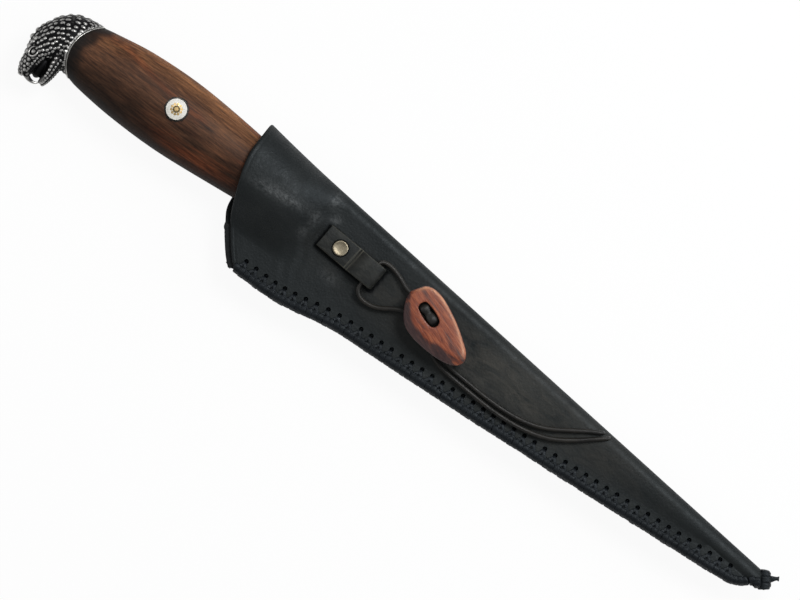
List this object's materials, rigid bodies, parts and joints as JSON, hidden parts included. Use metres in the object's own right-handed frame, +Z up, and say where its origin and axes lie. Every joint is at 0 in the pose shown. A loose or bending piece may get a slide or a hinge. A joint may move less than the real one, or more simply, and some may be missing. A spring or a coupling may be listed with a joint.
{
  "type": "sheathed fixed-blade knife",
  "caption": "Fixed-blade knife with a cast snake-head pommel and wood handle, in a laced leather sheath closed by a cord loop and wooden toggle.",
  "frame": {"origin": "centre in plan of the whole object, on the surface that its back rests on", "axes": "+X along the draw axis from pommel to sheath tip, +Y towards the folded spine of the sheath, +Z up from the back of the sheath to its front"},
  "size_m": [0.3792, 0.0582, 0.0309],
  "materials": {
    "steel": "satin ground steel",
    "nickel": "polished nickel silver",
    "handle_wood": "oiled dark brown wood, fine grain",
    "silver": "bright silver",
    "antique_silver": "antiqued cast silver",
    "pin_tube": "darkened metal",
    "pin_filler": "white resin",
    "brass": "polished brass",
    "black_leather": "black waxed leather",
    "lace": "black leather lace",
    "antique_brass": "antique brass",
    "toggle_wood": "oiled red-brown wood",
    "cord": "dark brown round leather cord"
  },
  "bodies": {
    "sheath": {"sheath_shell": "black_leather", "welt": "black_leather", "edge_lacing": "lace", "tip_knot": "lace", "lace_tail": "lace", "strap_tab": "black_leather", "back_keeper": "black_leather", "tab_rivet_cap": "antique_brass", "tab_rivet_post": "antique_brass", "tab_rivet_washer": "antique_brass", "keeper_rivet_cap": "antique_brass", "keeper_rivet_post": "antique_brass", "keeper_rivet_washer": "antique_brass", "loop_cord": "cord", "belt_cord": "cord"},
    "knife": {"blade": "steel", "bolster": "nickel", "handle_wood": "handle_wood", "collar_ring": "silver", "snake_head_pommel": "antique_silver", "pin_tube": "pin_tube", "pin_filler": "pin_filler", "pin_petal_rods": "brass", "pin_inner_ring": "brass", "pin_core": "brass"},
    "toggle": {"toggle": "toggle_wood", "toggle_cord_bight": "cord"}
  },
  "joints": [
    {"name": "knife_draw", "type": "slide", "parent": "sheath", "child": "knife", "axis": [-1, 0, 0], "range_m": [0, 0.28]},
    {"name": "toggle_turn", "type": "hinge", "parent": "sheath", "child": "toggle", "pos_m": [0.00909, 0.00449, 0.0251], "axis": [0, 0, 1], "range_deg": [-75, 75]}
  ]
}
